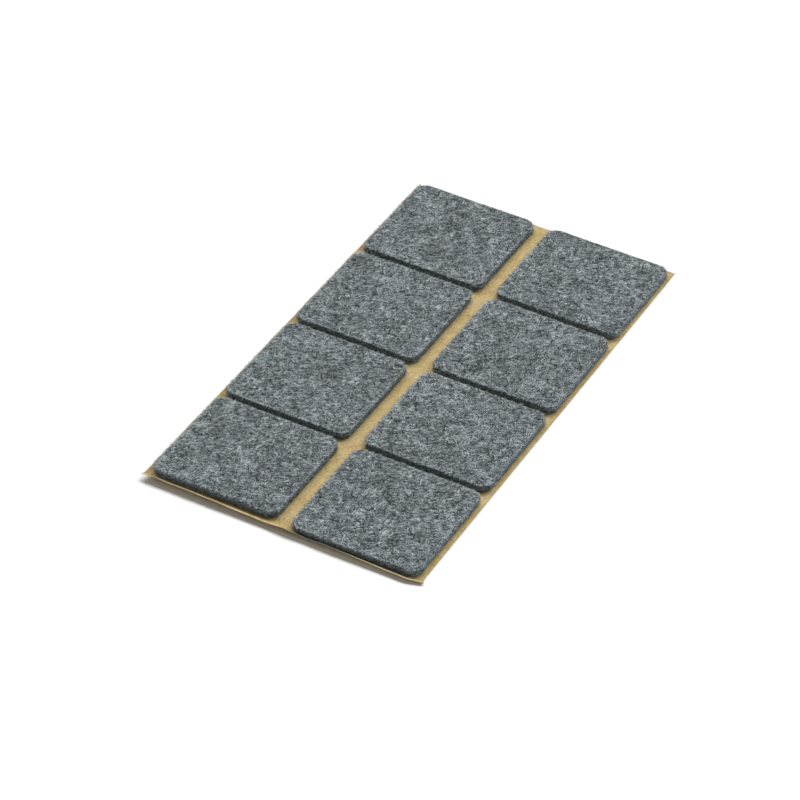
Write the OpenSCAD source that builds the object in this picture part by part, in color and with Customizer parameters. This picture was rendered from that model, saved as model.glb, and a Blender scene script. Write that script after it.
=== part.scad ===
// Sheet of self-adhesive felt furniture pads: eight square pads of needle felt
// in two columns of four, each with its own adhesive film, stuck on a sheet of
// kraft release liner. A pad is peeled off and pressed under a furniture leg.
// Millimetres. +Z is up, +Y runs along the sheet from the front row to the back,
// and the origin is the middle of the liner's underside.

/* [Felt pads] */
// Width of a pad across the sheet
pad_w = 50; // [25:1:90]
// Length of a pad along the sheet
pad_l = 50; // [25:1:90]
// Corner radius that the cutting die leaves on felt and film
pad_corner = 4.4; // [1:0.1:10]
// Thickness of the needle felt
felt_t = 2.8; // [1:0.1:8]
// How much shorter the left front pad is cut than the others, and longer the right one
front_step = 1.1; // [0:0.1:1.5]

/* [Adhesive films] */
// Thickness of the adhesive film under each felt pad
film_t = 0.2; // [0.1:0.05:1]

/* [Release liner] */
// Thickness of the siliconised kraft paper
liner_t = 0.15; // [0.1:0.01:0.5]
// Bare liner between the two columns of pads
column_gap = 6.4; // [2:0.1:20]
// Bare liner between neighbouring pads of a column
row_gap = 2.85; // [1:0.05:15]
// Bare liner outside the left column
left_margin = 1.6; // [0.5:0.1:15]
// Bare liner outside the right column, at the front
right_margin = 2.1; // [0.5:0.1:15]
// Bare liner outside the right column, at the back
right_back_margin = 1.3; // [0.5:0.1:15]
// Bare liner in front of the left front pad, at the liner's left edge
left_front_margin = 2.1; // [0.5:0.1:15]
// Bare liner in front of the right front pad, at the liner's right edge
right_front_margin = 2.6; // [0.5:0.1:15]
// Bare liner behind the last row
back_margin = 2; // [0.5:0.1:15]

/* [Hidden] */
$fn = 48;
COLUMNS = ["left", "right"];
ROWS = 4;
PADS = [for (column = COLUMNS, row = [1:ROWS]) [column, row]];
row_pitch = pad_l + row_gap;
block_w = 2 * pad_w + column_gap;
front_w = left_margin + block_w + right_margin;
back_w = left_margin + block_w + right_back_margin;
sheet_w = max(front_w, back_w);
left_l = back_margin + (ROWS - 1) * row_pitch + cut_l(["left", 1]) + left_front_margin;
right_l = back_margin + (ROWS - 1) * row_pitch + cut_l(["right", 1]) + right_front_margin;
sheet_l = max(left_l, right_l);
film_z = liner_t;
felt_z = film_z + film_t;

function felt_name(pad) = str("felt_pad_", pad[0], "_", pad[1]);
function film_name(pad) = str("adhesive_film_", pad[0], "_", pad[1]);

// A pad is ["left" or "right", row counted from the front]: its length and its middle
function cut_l(pad) = pad_l + (pad[1] > 1 ? 0 : pad[0] == "left" ? -front_step : front_step);
function pad_x(pad) = -sheet_w / 2 + left_margin + (pad[0] == "left" ? pad_w / 2 : block_w - pad_w / 2);
function pad_y(pad) = sheet_l / 2 - back_margin - (ROWS - pad[1]) * row_pitch - cut_l(pad) / 2;

// Outline of the cutting die: felt and film are cut in one stroke
module die_outline(length) {
    square([pad_w - 2 * pad_corner, length], center = true);
    square([pad_w, length - 2 * pad_corner], center = true);
    for (x = [-1, 1], y = [-1, 1])
        translate([x * (pad_w / 2 - pad_corner), y * (length / 2 - pad_corner)])
            circle(r = pad_corner);
}

// Layer of a pad, of the die's outline, from height z upwards
module pad_layer(pad, z, thickness) {
    translate([pad_x(pad), pad_y(pad), z])
        linear_extrude(thickness)
            die_outline(cut_l(pad));
}

// Kraft paper sheet that carries the pads, siliconised on top. Its front and right
// edges are cut a little askew, so opposite sides differ in length.
module release_liner() {
    color("#bea876")
        translate([-sheet_w / 2, sheet_l / 2, 0])
            linear_extrude(liner_t)
                polygon([[0, 0], [0, -left_l], [front_w, -right_l], [back_w, 0]]);
}

// Pressure-sensitive adhesive that comes off the liner with its pad
module adhesive_film(pad) {
    color("#a39e87")
        pad_layer(pad, film_z, film_t);
}

// Heathered grey needle felt, the face that slides on the floor
module felt_pad(pad) {
    color("#70787a")
        pad_layer(pad, felt_z, felt_t);
}

release_liner();
for (pad = PADS) {
    adhesive_film(pad);
    felt_pad(pad);
}
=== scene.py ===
import math
import random

import bmesh
import bpy
from mathutils import Matrix, Vector, noise


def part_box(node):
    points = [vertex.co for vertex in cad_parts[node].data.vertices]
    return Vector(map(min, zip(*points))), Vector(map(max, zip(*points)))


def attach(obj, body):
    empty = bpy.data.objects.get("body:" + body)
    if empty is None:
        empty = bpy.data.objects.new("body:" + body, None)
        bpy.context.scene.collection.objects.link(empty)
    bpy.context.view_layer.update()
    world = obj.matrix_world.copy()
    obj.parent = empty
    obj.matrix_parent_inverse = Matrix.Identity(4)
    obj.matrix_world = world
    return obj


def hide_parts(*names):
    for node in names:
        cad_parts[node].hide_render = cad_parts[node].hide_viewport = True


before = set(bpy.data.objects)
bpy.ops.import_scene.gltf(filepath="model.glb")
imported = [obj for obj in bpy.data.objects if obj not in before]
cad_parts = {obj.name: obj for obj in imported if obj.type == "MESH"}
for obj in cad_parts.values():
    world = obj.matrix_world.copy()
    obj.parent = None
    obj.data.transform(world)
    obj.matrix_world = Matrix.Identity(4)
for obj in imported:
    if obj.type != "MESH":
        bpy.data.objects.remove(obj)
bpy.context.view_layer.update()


# Release liner: one sheet of brown kraft paper, siliconised on top so that the pads peel
# off it. It is cut on a guillotine, a little askew at the front and the right. It lies flat
# under the pads that stiffen it, and its bare margins curl up, most of all at the front.
MM = 0.001
liner_low, liner_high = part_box("release_liner")
sheet_size = liner_high - liner_low
left_low, left_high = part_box("felt_pad_left_1")
right_low, right_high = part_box("felt_pad_right_1")
paper_step = 1.0 * MM
front_skew, side_skew = 2.7 * MM, 0.8 * MM
# Rows of points along the front cut, in mm inwards. Between the first two the paper takes a paler colour, a
# painted highlight for the lit crest of the curled lip.
lip_rows = (0, 0.3, 0.6, 1, 1.5, 2)
highlight_rim = lip_rows[1] * MM
# The lip is how high the front margin curls, with a hump right of the column gap, and the
# rise is the power of its curve. The sides curl less, and all of it wanders.
lip_left, lip_right = 1.4 * MM, 1.27 * MM
lip_hump, hump_place, hump_reach = 0.45 * MM, right_low.x + 6 * MM, 16 * MM
rise_left, rise_right = 1.4, 0.85
left_curl, right_curl = 0.6 * MM, 0.1 * MM
curl_wander, wander_pitch = 0.6, 11 * MM
# Handling has bent the two front corners. A bend falls to nothing within its reach.
left_bend, right_bend = Vector((-0.7, -0.2, -0.7)) * MM, Vector((0.9, 1.8, -0.2)) * MM
left_reach, right_reach, bend_fall = 5 * MM, 5.5 * MM, 1.3


def linear(hex_colour):
    """An sRGB hex colour as the linear colour that a socket takes."""
    channels = [int(hex_colour[i:i + 2], 16) / 255 for i in (1, 3, 5)]
    return [c / 12.92 if c <= 0.04045 else ((c + 0.055) / 1.055) ** 2.4 for c in channels] + [1]


def new_material(name):
    """A material with no nodes yet."""
    material = bpy.data.materials.new(name)
    material.use_nodes = True
    material.node_tree.nodes.clear()
    return material


def add_node(material, kind, inputs=(), **settings):
    """Adds a shader node. Settings are its attributes; inputs are values, or sockets that feed it."""
    node = material.node_tree.nodes.new(kind)
    for name, value in settings.items():
        setattr(node, name, value)
    for name, value in dict(inputs).items():
        if isinstance(value, bpy.types.NodeSocket):
            material.node_tree.links.new(value, node.inputs[name])
        else:
            node.inputs[name].default_value = value
    return node


def new_object(name, shape, *materials):
    """An object in the scene for a finished bmesh, mesh or curve, with its materials."""
    if isinstance(shape, bmesh.types.BMesh):
        mesh = bpy.data.meshes.new(name)
        shape.to_mesh(mesh)
        shape.free()
        shape = mesh
    for material in materials:
        shape.materials.append(material)
    made = bpy.data.objects.new(name, shape)
    bpy.context.scene.collection.objects.link(made)
    return made


def ease(value, start, end):
    """Smooth step from 0 at start to 1 at end."""
    t = min(max((value - start) / (end - start), 0), 1)
    return t * t * (3 - 2 * t)


def front_cut(x):
    """Y of the liner's front edge."""
    return liner_low.y + front_skew * (liner_high.x - x) / sheet_size.x


def slice_sheet(sheet, point, direction, **cleared):
    """Cuts a sheet's faces along a plane, and clears the side that is named."""
    bmesh.ops.bisect_plane(sheet, geom=sheet.verts[:] + sheet.edges[:] + sheet.faces[:],
                           plane_co=point, plane_no=direction, **cleared)


def margin_curl(x, y):
    """How far the bare paper outside the pads curls up."""
    rightness = ease(x, left_high.x, right_low.x)
    pad_front = left_low.y + (right_low.y - left_low.y) * rightness
    rise = rise_left + (rise_right - rise_left) * rightness
    forwards = max(pad_front - y, 0) / (pad_front - front_cut(x))
    leftwards = max(left_low.x - x, 0) / (left_low.x - liner_low.x)
    rightwards = max(x - right_high.x, 0) / (liner_high.x - right_high.x)
    wander = 1 + curl_wander * noise.noise(Vector((x, y, 0)) / wander_pitch)
    lip = lip_left + (lip_right - lip_left) * (x - liner_low.x) / sheet_size.x
    lip += lip_hump * (1 - ease(abs(x - hump_place), 0, hump_reach))
    sides = left_curl * leftwards ** 2 + right_curl * rightwards ** 2
    return wander * (lip * forwards ** rise + sides * (1 - forwards))


# Siliconised kraft paper: long softwood fibres pressed flat, so the tan is finely
# mottled with paler fibres and a few dark specks. The silicone gives a dull sheen.
kraft = new_material("siliconised_kraft_paper")
at = add_node(kraft, "ShaderNodeTexCoord").outputs["Object"]
clouds = add_node(kraft, "ShaderNodeTexNoise",
                  {"Vector": at, "Scale": 1 / (7 * MM), "Detail": 3.0, "Roughness": 0.6})
grain = add_node(kraft, "ShaderNodeTexNoise",
                 {"Vector": at, "Scale": 1 / (0.8 * MM), "Detail": 3.0, "Roughness": 0.65})
machine_way = add_node(kraft, "ShaderNodeMapping",
                       {"Vector": at, "Scale": (0.35 * MM, 4 * MM, 4 * MM)}, vector_type="TEXTURE")
streaks = add_node(kraft, "ShaderNodeTexNoise",
                   {"Vector": machine_way.outputs[0], "Scale": 1.0, "Detail": 2.0, "Distortion": 0.6})
mottle = add_node(kraft, "ShaderNodeMath",
                  {0: grain.outputs["Fac"], 1: 2.0, 2: clouds.outputs["Fac"]}, operation="MULTIPLY_ADD")
pulp = add_node(kraft, "ShaderNodeMath",
                {0: mottle.outputs[0], 1: streaks.outputs["Fac"]}, operation="ADD")
tone = add_node(kraft, "ShaderNodeMapRange",
                {"Value": pulp.outputs[0], "From Min": 1.58, "From Max": 2.42})
tan = add_node(kraft, "ShaderNodeMixRGB",
               {"Fac": tone.outputs[0], "Color1": linear("#a38a50"), "Color2": linear("#cab687")})
shives = add_node(kraft, "ShaderNodeTexNoise", {"Vector": at, "Scale": 1 / (1.3 * MM), "Detail": 1.0})
shive_share = add_node(kraft, "ShaderNodeMapRange",
                       {"Value": shives.outputs["Fac"], "From Min": 0.66, "From Max": 0.74, "To Max": 0.75})
speckled = add_node(kraft, "ShaderNodeMixRGB",
                    {"Fac": shive_share.outputs[0], "Color1": tan.outputs[0], "Color2": linear("#8d6a38")})
relief = add_node(kraft, "ShaderNodeBump",
                  {"Height": pulp.outputs[0], "Strength": 0.25, "Distance": 0.05 * MM})
paper = add_node(kraft, "ShaderNodeBsdfPrincipled",
                 {"Base Color": speckled.outputs[0], "Roughness": 0.65, "Normal": relief.outputs[0],
                  "Specular IOR Level": 0.25})
add_node(kraft, "ShaderNodeOutputMaterial", {"Surface": paper.outputs[0]})

# Cut kraft: the cut walls of the sheet bare the pulp, which is paler, greyer and dull. The same colour on
# the outermost 0.3 mm of the top and underside along the front cut is a painted highlight. It stands in for
# the lit crest where the front margin curls up, and shows as a thin pale line.
pulp_and_highlight_kraft = new_material("bare_pulp_and_painted_highlight")
at = add_node(pulp_and_highlight_kraft, "ShaderNodeTexCoord").outputs["Object"]
raw_grain = add_node(pulp_and_highlight_kraft, "ShaderNodeTexNoise",
                     {"Vector": at, "Scale": 1 / (0.9 * MM), "Detail": 4.0, "Roughness": 0.65})
pulp_and_highlight_tone = add_node(pulp_and_highlight_kraft, "ShaderNodeMapRange",
                    {"Value": raw_grain.outputs["Fac"], "From Min": 0.3, "From Max": 0.7})
pulp_and_highlight_tan = add_node(pulp_and_highlight_kraft, "ShaderNodeMixRGB",
                   {"Fac": pulp_and_highlight_tone.outputs[0], "Color1": linear("#aca28c"), "Color2": linear("#d0c9b7")})
raw_relief = add_node(pulp_and_highlight_kraft, "ShaderNodeBump",
                      {"Height": raw_grain.outputs["Fac"], "Strength": 0.25, "Distance": 0.05 * MM})
pulp_and_highlight_paper = add_node(pulp_and_highlight_kraft, "ShaderNodeBsdfPrincipled",
                     {"Base Color": pulp_and_highlight_tan.outputs[0], "Roughness": 0.9, "Normal": raw_relief.outputs[0],
                      "Specular IOR Level": 0.15})
add_node(pulp_and_highlight_kraft, "ShaderNodeOutputMaterial", {"Surface": pulp_and_highlight_paper.outputs[0]})

liner_mesh = bmesh.new()
bmesh.ops.create_grid(liner_mesh, x_segments=round(sheet_size.x / paper_step),
                      y_segments=round(sheet_size.y / paper_step), size=0.5)
bmesh.ops.scale(liner_mesh, vec=(sheet_size.x, sheet_size.y, 1), verts=liner_mesh.verts)
bmesh.ops.translate(liner_mesh, vec=(liner_low + liner_high) / 2, verts=liner_mesh.verts)
for inwards in lip_rows:
    row = Vector((0, front_cut(0) + inwards * MM, 0))
    slice_sheet(liner_mesh, row, (front_skew, sheet_size.x, 0), clear_inner=inwards == 0)
left_corner = Vector((liner_low.x, front_cut(liner_low.x)))
right_corner = Vector((liner_high.x, liner_low.y))
slice_sheet(liner_mesh, right_corner.to_3d(), (sheet_size.y, side_skew, 0), clear_outer=True)
# Faces on the strip along the front cut take the pale second material: a painted highlight on the lip's lit
# crest.
for face in liner_mesh.faces:
    middle = face.calc_center_median()
    face.material_index = int(middle.y < front_cut(middle.x) + highlight_rim)
bent_corners = ((left_corner, left_bend, left_reach), (right_corner, right_bend, right_reach))
for vertex in liner_mesh.verts:
    x, y = vertex.co.xy
    vertex.co.z = liner_low.z + margin_curl(x, y)
    for corner, bend, reach in bent_corners:
        near = max(1 - math.hypot(x - corner.x, y - corner.y) / reach, 0)
        vertex.co += bend * near ** bend_fall
# The thickness goes on upwards. Walls that join both sides are the cut, and show bare pulp.
back_verts = set(liner_mesh.verts)
bmesh.ops.solidify(liner_mesh, geom=liner_mesh.faces[:], thickness=-sheet_size.z)
bmesh.ops.recalc_face_normals(liner_mesh, faces=liner_mesh.faces)
for face in liner_mesh.faces:
    on_back = {vertex in back_verts for vertex in face.verts}
    if on_back == {True, False}:
        face.material_index = 1
# Solidify makes the walls in no fixed order, so the faces are sorted by height, row and place.
sorting_way = Vector((1, 1e3, 1e6))
liner_mesh.faces.sort(key=lambda face: face.calc_center_median().dot(sorting_way))
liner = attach(new_object("kraft_release_liner", liner_mesh, kraft, pulp_and_highlight_kraft), "liner")
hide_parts("release_liner")


# Adhesive films: one layer of pressure-sensitive adhesive under each pad, cut with the
# felt in one stroke of the die. It comes off the liner with the pad.
pad_places = [f"{column}_{row}" for column in ("left", "right") for row in (1, 2, 3, 4)]
corner_radius = 4.4 * MM

# Acrylic adhesive: a clear, slightly yellow coat with a wet gloss. The felt's grey shows
# through it, so it is drawn as the colour of both together.
tack = new_material("acrylic_adhesive")
at = add_node(tack, "ShaderNodeTexCoord").outputs["Object"]
coating = add_node(tack, "ShaderNodeTexNoise",
                   {"Vector": at, "Scale": 1 / (2.5 * MM), "Detail": 4.0, "Roughness": 0.6})
honey = add_node(tack, "ShaderNodeMixRGB",
                 {"Fac": coating.outputs["Fac"], "Color1": linear("#8c8874"), "Color2": linear("#b9b399")})
ripple = add_node(tack, "ShaderNodeBump",
                  {"Height": coating.outputs["Fac"], "Strength": 0.3, "Distance": 0.05 * MM})
gloss = add_node(tack, "ShaderNodeBsdfPrincipled",
                 {"Base Color": honey.outputs[0], "Roughness": 0.22, "IOR": 1.47,
                  "Normal": ripple.outputs[0]})
add_node(tack, "ShaderNodeOutputMaterial", {"Surface": gloss.outputs[0]})


def die_cut(node):
    """A flat blank of the die's outline, with round corners, in the place of a CAD node."""
    low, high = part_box(node)
    blank = bmesh.new()
    bmesh.ops.create_cube(blank, size=1)
    bmesh.ops.scale(blank, vec=high - low, verts=blank.verts)
    bmesh.ops.translate(blank, vec=(low + high) / 2, verts=blank.verts)
    upright = [e for e in blank.edges if abs((e.verts[0].co - e.verts[1].co).normalized().z) > 0.9]
    bmesh.ops.bevel(blank, geom=upright, offset=corner_radius, offset_type="OFFSET", segments=10,
                    profile=0.5, affect="EDGES", material=-1)
    return blank


for place in pad_places:
    film_mesh = die_cut(f"adhesive_film_{place}")
    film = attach(new_object(f"adhesive_{place}", film_mesh, tack), f"pad_{place}")
    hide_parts(f"adhesive_film_{place}")


# Felt pads: squares of needle felt, a mat of grey, black and pale polyester fibres that
# barbed needles have tangled. The die cuts them with round corners and leaves a soft rim.
felt_step = 0.5 * MM
soft_rim = 0.25 * MM
# The cut sides are fuzzy and wander. The base stays flat on its film, and what is steeper
# than the face slope, the upward part of a normal, is cut edge.
fuzz, fuzz_pitch = 0.12 * MM, 0.8 * MM
cut_wander, cut_pitch = 0.25 * MM, 9 * MM
flat_base = 1.2 * MM
face_slope = 0.35


def unevenness(x, y):
    """Height of the felt's face above its mean: slow waves, lumps and fibre bundles."""
    waves = noise.noise(Vector((x, y, 0)) / (14 * MM))
    lumps = noise.noise(Vector((x, y, 0.1)) / (2.2 * MM))
    bundles = noise.noise(Vector((x, y, 0.2)) / (0.9 * MM))
    return (0.08 * waves + 0.05 * lumps + 0.06 * bundles) * MM


# Needle felt face: pale and dark fibres lie every way over a slate ground and catch the
# light, with pits between them. A fibre is finer than a pixel here, so the wisps that
# show are bundles of them, drawn about 0.4 mm wide and 2.4 mm long.
sway_reach = 1.8 * MM
wisp_length, wisp_width = 2.4 * MM, 0.36 * MM
wisps = [(20, "#a3aeb1"), (110, "#283032"), (155, "#8c989b"), (65, "#22292b"), (90, "#b2bdc0"),
         (0, "#323a3c"), (45, "#cdd7da"), (135, "#1e2527"), (75, "#909c9f"), (170, "#293133"),
         (35, "#cad4d7"), (120, "#252c2e")]
felt_face = new_material("needle_felt_face")
at = add_node(felt_face, "ShaderNodeTexCoord").outputs["Object"]
sway = add_node(felt_face, "ShaderNodeTexNoise", {"Vector": at, "Scale": 1 / (1.8 * MM), "Detail": 1.0})
curled = add_node(felt_face, "ShaderNodeVectorMath",
                  {0: sway.outputs["Color"], 1: (sway_reach, sway_reach, 0.0), 2: at},
                  operation="MULTIPLY_ADD")
ground = add_node(felt_face, "ShaderNodeTexNoise",
                  {"Vector": curled.outputs[0], "Scale": 1 / (0.6 * MM), "Detail": 3.0, "Roughness": 0.65})
patches = add_node(felt_face, "ShaderNodeTexNoise", {"Vector": at, "Scale": 1 / (6.5 * MM), "Detail": 2.0})
shade = add_node(felt_face, "ShaderNodeMapRange",
                 {"Value": ground.outputs["Fac"], "From Min": 0.3, "From Max": 0.7})
colour = add_node(felt_face, "ShaderNodeMixRGB",
                  {"Fac": shade.outputs[0], "Color1": linear("#2b3234"), "Color2": linear("#768083")})
height = ground.outputs["Fac"]
for layer, (angle, tint) in enumerate(wisps):
    lying = add_node(felt_face, "ShaderNodeMapping",
                     {"Vector": curled.outputs[0], "Location": (13 * MM * layer, 7 * MM * layer, 0.0),
                      "Rotation": (0.0, 0.0, math.radians(angle)),
                      "Scale": (wisp_length, wisp_width, wisp_width)},
                     vector_type="TEXTURE")
    bundle = add_node(felt_face, "ShaderNodeTexNoise",
                      {"Vector": lying.outputs[0], "Scale": 1.0, "Detail": 1.0, "Roughness": 0.5})
    share = add_node(felt_face, "ShaderNodeMapRange",
                     {"Value": bundle.outputs["Fac"], "From Min": 0.575, "From Max": 0.65, "To Max": 0.85},
                     interpolation_type="SMOOTHSTEP")
    colour = add_node(felt_face, "ShaderNodeMixRGB",
                      {"Fac": share.outputs[0], "Color1": colour.outputs[0], "Color2": linear(tint)})
    height = add_node(felt_face, "ShaderNodeMath",
                      {0: share.outputs[0], 1: 0.5, 2: height}, operation="MULTIPLY_ADD").outputs[0]
cloud = add_node(felt_face, "ShaderNodeMapRange",
                 {"Value": patches.outputs["Fac"], "To Min": 0.28, "To Max": 1.41})
heather = add_node(felt_face, "ShaderNodeMixRGB",
                   {"Fac": 1.0, "Color1": colour.outputs[0], "Color2": cloud.outputs[0]},
                   blend_type="MULTIPLY")
nap = add_node(felt_face, "ShaderNodeBump", {"Height": height, "Strength": 0.7, "Distance": 0.2 * MM})
fleece = add_node(felt_face, "ShaderNodeBsdfPrincipled",
                  {"Base Color": heather.outputs[0], "Roughness": 0.95, "Normal": nap.outputs[0],
                   "Specular IOR Level": 0.2, "Sheen Weight": 0.1, "Sheen Roughness": 0.5})
add_node(felt_face, "ShaderNodeOutputMaterial", {"Surface": fleece.outputs[0]})

# Cut edge of the felt: the same fibres seen end on and in layers. The steep faces get their own copy of the
# felt's colour, tinted bluer than the face: painted shade, the cool colour of the walls that stand in
# shadow between the pads.
felt_edge_shade = new_material("needle_felt_cut_edge_painted_shade")
at = add_node(felt_edge_shade, "ShaderNodeTexCoord").outputs["Object"]
layers = add_node(felt_edge_shade, "ShaderNodeMapping",
                  {"Vector": at, "Scale": (1.1 * MM, 1.1 * MM, 0.4 * MM)}, vector_type="TEXTURE")
ends = add_node(felt_edge_shade, "ShaderNodeTexNoise",
                {"Vector": layers.outputs[0], "Scale": 1.0, "Detail": 3.0, "Roughness": 0.7})
end_tone = add_node(felt_edge_shade, "ShaderNodeMapRange",
                    {"Value": ends.outputs["Fac"], "From Min": 0.35, "From Max": 0.65})
edge_shade_tint = add_node(felt_edge_shade, "ShaderNodeMixRGB",
                {"Fac": end_tone.outputs[0], "Color1": linear("#252f33"), "Color2": linear("#93a2a9")})
bristle = add_node(felt_edge_shade, "ShaderNodeBump",
                   {"Height": ends.outputs["Fac"], "Strength": 0.8, "Distance": 0.3 * MM})
trimmed = add_node(felt_edge_shade, "ShaderNodeBsdfPrincipled",
                   {"Base Color": edge_shade_tint.outputs[0], "Roughness": 1.0, "Normal": bristle.outputs[0],
                    "Specular IOR Level": 0.1})
add_node(felt_edge_shade, "ShaderNodeOutputMaterial", {"Surface": trimmed.outputs[0]})


def felt_plate(node):
    """Even, fine mesh of one felt pad: the die's outline, with an uneven face and frayed sides."""
    low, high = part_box(node)
    blank = die_cut(node)
    just_below_top = high.z - 0.01 * MM
    rim = [e for e in blank.edges if min(v.co.z for v in e.verts) > just_below_top]
    bmesh.ops.bevel(blank, geom=rim, offset=soft_rim, offset_type="OFFSET", segments=3,
                    profile=0.5, affect="EDGES", material=-1)
    carrier = new_object(node, blank)
    voxels = carrier.modifiers.new("even_mesh", "REMESH")
    voxels.mode = "VOXEL"
    voxels.voxel_size = felt_step
    ready = carrier.evaluated_get(bpy.context.evaluated_depsgraph_get())
    felt = bmesh.new()
    felt.from_mesh(ready.to_mesh())
    bpy.data.objects.remove(carrier)
    felt.normal_update()
    moves = []
    for vertex in felt.verts:
        x, y, z = vertex.co
        normal = vertex.normal
        fray = fuzz * noise.noise(vertex.co / fuzz_pitch)
        fray += cut_wander * noise.noise(Vector((x, y, 0)) / cut_pitch)
        move = Vector((normal.x * fray, normal.y * fray, 0))
        if z > low.z + flat_base:
            move.z += unevenness(x, y)
        moves.append(move)
    for vertex, move in zip(felt.verts, moves):
        vertex.co += move
    # Steep faces take the second material, the felt's colour as painted shade.
    for face in felt.faces:
        face.smooth = True
        face.material_index = 0 if face.normal.z > face_slope else 1
    return felt


# Loose fibres: what the needles left lying on the face and the die left sticking out of
# the cut edge. Each fibre is dyed in one colour, and the mix makes the heather. A real one
# is 0.02 mm thick, so these are drawn six times as thick to show.
fibre_radius = 0.06 * MM
fibre_dyes = []
for name, dye in (("black", "#1d2122"), ("charcoal", "#3f4648"), ("grey", "#7d8587"),
                  ("silver", "#a7b1b4"), ("pale", "#dae3e6")):
    material = new_material(f"polyester_fibre_{name}")
    fibre = add_node(material, "ShaderNodeBsdfPrincipled",
                     {"Base Color": linear(dye), "Roughness": 0.8, "Specular IOR Level": 0.3})
    add_node(material, "ShaderNodeOutputMaterial", {"Surface": fibre.outputs[0]})
    fibre_dyes.append(material)
dye_numbers = range(len(fibre_dyes))

# Tufts on the face. Lengths and spreads are in mm, and turns in radians.
face_tufts, tuft_fibres, tuft_spread = 560, 4, 0.45
tuft_lengths, tuft_arches, tuft_widths = (2, 6), (0, 0.12), (0.6, 1.2)
tuft_bend, tuft_fan, tuft_kink = 0.5, 0.25, 0.35
tuft_taper = (0.4, 0.9, 1, 1, 0.9, 0.4)
tuft_dye_shares = (4, 3, 2, 3, 4)
tuft_strides = len(tuft_taper) - 1
bare_border = 0.4 * MM

# Fibres along the soft rim, and the strays among them that reach past the cut, in mm. They are dyed paler
# than the tufts on the face: partly real pale fuzz, partly a painted highlight where the fuzz catches the
# light. More of them stray on the left sides of the pads, which come out fuzzier and lighter than the
# others: partly real fuzz, partly painted highlight.
rim_fibres, rim_drift, rim_depth = 1500, 0.9, 0.04
rim_roots, rim_reaches, rim_droops = (0.5, 1.4), (-0.6, 0.05), (-0.1, 0.25)
rim_steps, rim_taper = (0, 0.6, 1), (0.6, 1, 0.5)
rim_highlight_dye_shares = (1, 2, 4, 4, 4)
stray_share, left_highlight_stray_share, leftwards_limit = 0.13, 0.55, -0.7
stray_reaches = (0.1, 0.9)
stray_highlight_dye_shares = (0, 1, 3, 4, 7)

# Fibre ends on the cut edge, in mm, and at shares of the felt's thickness.
edge_fibres, edge_drift, edge_root = 2000, 1.4, 0.7
edge_reaches, edge_bias, edge_climbs = (0.05, 0.7), 1.6, (-0.2, 0.25)
edge_heights = (0.05, 0.8)
edge_steps, edge_taper = (0, 0.5, 1), (0.7, 0.8, 0.4)
edge_dye_shares = (4, 3, 3, 3, 3)


def outside(x, y, low, high):
    """Distance of a place outside the die's outline, negative inside it."""
    across = abs(x - (low.x + high.x) / 2) - (high.x - low.x) / 2 + corner_radius
    along = abs(y - (low.y + high.y) / 2) - (high.y - low.y) / 2 + corner_radius
    return math.hypot(max(across, 0), max(along, 0)) + min(max(across, along), 0) - corner_radius


def rim_point(low, high, chance):
    """A place on the cut edge and the direction out of the felt there."""
    spot = Vector((chance.uniform(low.x, high.x), chance.uniform(low.y, high.y)))
    side = chance.randrange(4)
    spot[side // 2] = (low, high)[side % 2][side // 2]
    inner = Vector((min(max(spot.x, low.x + corner_radius), high.x - corner_radius),
                    min(max(spot.y, low.y + corner_radius), high.y - corner_radius)))
    out = (spot - inner).normalized()
    return inner + out * corner_radius, out


def face_strands(low, high, chance):
    """Tufts that lie on the face: the points, widths and dye of each fibre."""
    for _ in range(face_tufts):
        tuft = Vector((chance.uniform(low.x, high.x), chance.uniform(low.y, high.y)))
        way, bend = chance.uniform(0, math.tau), chance.gauss(0, tuft_bend)
        dye = chance.choices(dye_numbers, tuft_dye_shares)[0]
        for _ in range(tuft_fibres):
            place = tuft + Vector((chance.gauss(0, tuft_spread), chance.gauss(0, tuft_spread))) * MM
            heading = way + chance.gauss(0, tuft_fan)
            stride = chance.uniform(*tuft_lengths) * MM / tuft_strides
            arch, width = chance.uniform(*tuft_arches) * MM, chance.uniform(*tuft_widths)
            points = []
            for step in range(tuft_strides + 1):
                z = high.z + unevenness(*place) - fibre_radius
                points.append((*place, z + arch * math.sin(math.pi * step / tuft_strides)))
                place = place + Vector((math.cos(heading), math.sin(heading))) * stride
                heading += bend + chance.gauss(0, tuft_kink)
            if all(outside(p[0], p[1], low, high) < -bare_border for p in points):
                yield points, [width * share for share in tuft_taper], dye


def rim_strands(low, high, chance):
    """Fibres along the soft rim: the points, widths and dye of each."""
    for _ in range(rim_fibres):
        rim, out = rim_point(low, high, chance)
        along = Vector((-out.y, out.x)) * chance.gauss(0, rim_drift) * MM
        root, reach = chance.uniform(*rim_roots) * MM, chance.uniform(*rim_reaches) * MM
        # Rim fibres and strays draw their dyes from the paler shares: a painted highlight along the rim.
        dye_shares = rim_highlight_dye_shares
        if chance.random() < (left_highlight_stray_share if out.x < leftwards_limit else stray_share):
            reach = chance.uniform(*stray_reaches) * MM
            dye_shares = stray_highlight_dye_shares
        droop = chance.uniform(*rim_droops) * MM
        points = []
        for t in rim_steps:
            spot = rim + out * (-root + (root + reach) * t) + along * t
            points.append((*spot, high.z - rim_depth * MM - droop * t * t))
        yield points, rim_taper, chance.choices(dye_numbers, dye_shares)[0]


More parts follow.
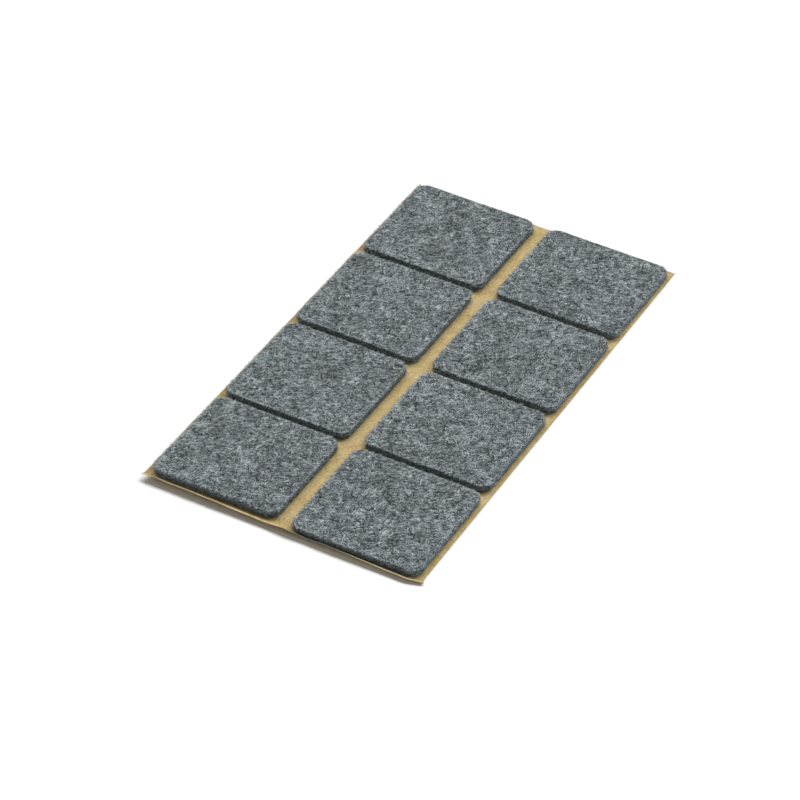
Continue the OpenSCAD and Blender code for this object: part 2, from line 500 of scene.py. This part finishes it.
def edge_strands(low, high, chance):
    """Fibre ends that stick out of the cut edge: the points, widths and dye of each."""
    for _ in range(edge_fibres):
        rim, out = rim_point(low, high, chance)
        along = Vector((-out.y, out.x)) * chance.gauss(0, edge_drift) * MM
        reach = chance.uniform(*edge_reaches) ** edge_bias * MM
        z = low.z + (high.z - low.z) * chance.uniform(*edge_heights)
        climb = chance.uniform(*edge_climbs) * MM
        points = []
        for t in edge_steps:
            spot = rim + out * (-edge_root * MM + (edge_root * MM + reach) * t) + along * t * t
            points.append((*spot, z + climb * t))
        yield points, edge_taper, chance.choices(dye_numbers, edge_dye_shares)[0]


def fibre_nap(node, chance):
    """All loose fibres of one pad, as one mesh of thin strands."""
    low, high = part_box(node)
    strands = bpy.data.curves.new(node, "CURVE")
    strands.dimensions = "3D"
    strands.bevel_depth = fibre_radius
    strands.bevel_resolution = 0
    strands.use_fill_caps = True
    for dye in fibre_dyes:
        strands.materials.append(dye)
    for kind in (face_strands, rim_strands, edge_strands):
        for points, widths, dye in kind(low, high, chance):
            spline = strands.splines.new("POLY")
            spline.points.add(len(points) - 1)
            for point, place, width in zip(spline.points, points, widths):
                point.co = (*place, 1)
                point.radius = width
            spline.material_index = dye
    carrier = new_object(node, strands)
    ready = carrier.evaluated_get(bpy.context.evaluated_depsgraph_get())
    mesh = bpy.data.meshes.new_from_object(ready)
    bpy.data.objects.remove(carrier)
    return mesh


chance = random.Random(7)
for place in pad_places:
    felt_mesh = felt_plate(f"felt_pad_{place}")
    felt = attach(new_object(f"felt_{place}", felt_mesh, felt_face, felt_edge_shade), f"pad_{place}")
    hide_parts(f"felt_pad_{place}")
    nap_mesh = fibre_nap(f"felt_pad_{place}", chance)
    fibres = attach(new_object(f"felt_fibres_{place}", nap_mesh), f"pad_{place}")


# Stage: a white table under one long softbox that stands behind it. The sheet touches the
# table with its right edge, and its left edge stands a little off it, as photographed.
left_gap, table_drop = 1.65 * MM, 0.02 * MM

# Matt white laminate: even and dull, so that nothing but the sheet's shadow shows on it.
white = new_material("white_table")
table_top = add_node(white, "ShaderNodeBsdfDiffuse", {"Color": linear("#fcfcfc")})
add_node(white, "ShaderNodeOutputMaterial", {"Surface": table_top.outputs[0]})
table_mesh = bmesh.new()
bmesh.ops.create_grid(table_mesh, x_segments=1, y_segments=1, size=4)
tilt = Matrix.Rotation(-math.atan(left_gap / sheet_size.x), 3, "Y")
bmesh.ops.rotate(table_mesh, matrix=tilt, verts=table_mesh.verts)
back_corner = Vector((liner_high.x, liner_high.y, liner_low.z - table_drop))
bmesh.ops.translate(table_mesh, vec=back_corner, verts=table_mesh.verts)
table = new_object("table", table_mesh, white)

world = bpy.data.worlds.new("room")
world.use_nodes = True
world.node_tree.nodes["Background"].inputs["Color"].default_value = linear("#ffffff")
world.node_tree.nodes["Background"].inputs["Strength"].default_value = 0.22
bpy.context.scene.world = world
lamp_tilt, lamp_turn, lamp_distance = math.radians(56.5), math.radians(-6), 6.0
lamp_way = Vector((math.sin(lamp_turn) * math.cos(lamp_tilt), math.cos(lamp_turn) * math.cos(lamp_tilt),
                   math.sin(lamp_tilt)))
softbox_data = bpy.data.lights.new("softbox", "AREA")
softbox_data.shape = "RECTANGLE"
softbox_data.size, softbox_data.size_y = 11, 3
softbox_data.energy = 592
softbox = bpy.data.objects.new("softbox", softbox_data)
softbox.matrix_world = Matrix.LocRotScale(lamp_way * lamp_distance, lamp_way.to_track_quat("Z", "Y"), None)
bpy.context.scene.collection.objects.link(softbox)
bpy.context.scene.view_settings.view_transform = "Standard"

# Camera: from the front right and above, with a long lens, a little out of level.
azimuth, elevation, roll = math.radians(24.835), math.radians(37.594), math.radians(4.441)
aim = Vector((1.62, -18.14, 0.11)) * MM
distance = 1416.2 * MM
camera_data = bpy.data.cameras.new("camera")
camera_data.lens = 176.5
camera_data.sensor_width = 36
back = Vector((math.sin(azimuth) * math.cos(elevation), -math.cos(azimuth) * math.cos(elevation),
               math.sin(elevation)))
facing = (-back).to_track_quat("-Z", "Y").to_matrix() @ Matrix.Rotation(roll, 3, "Z")
camera = bpy.data.objects.new("camera", camera_data)
camera.matrix_world = Matrix.Translation(aim + back * distance) @ facing.to_4x4()
bpy.context.scene.collection.objects.link(camera)
bpy.context.scene.camera = camera
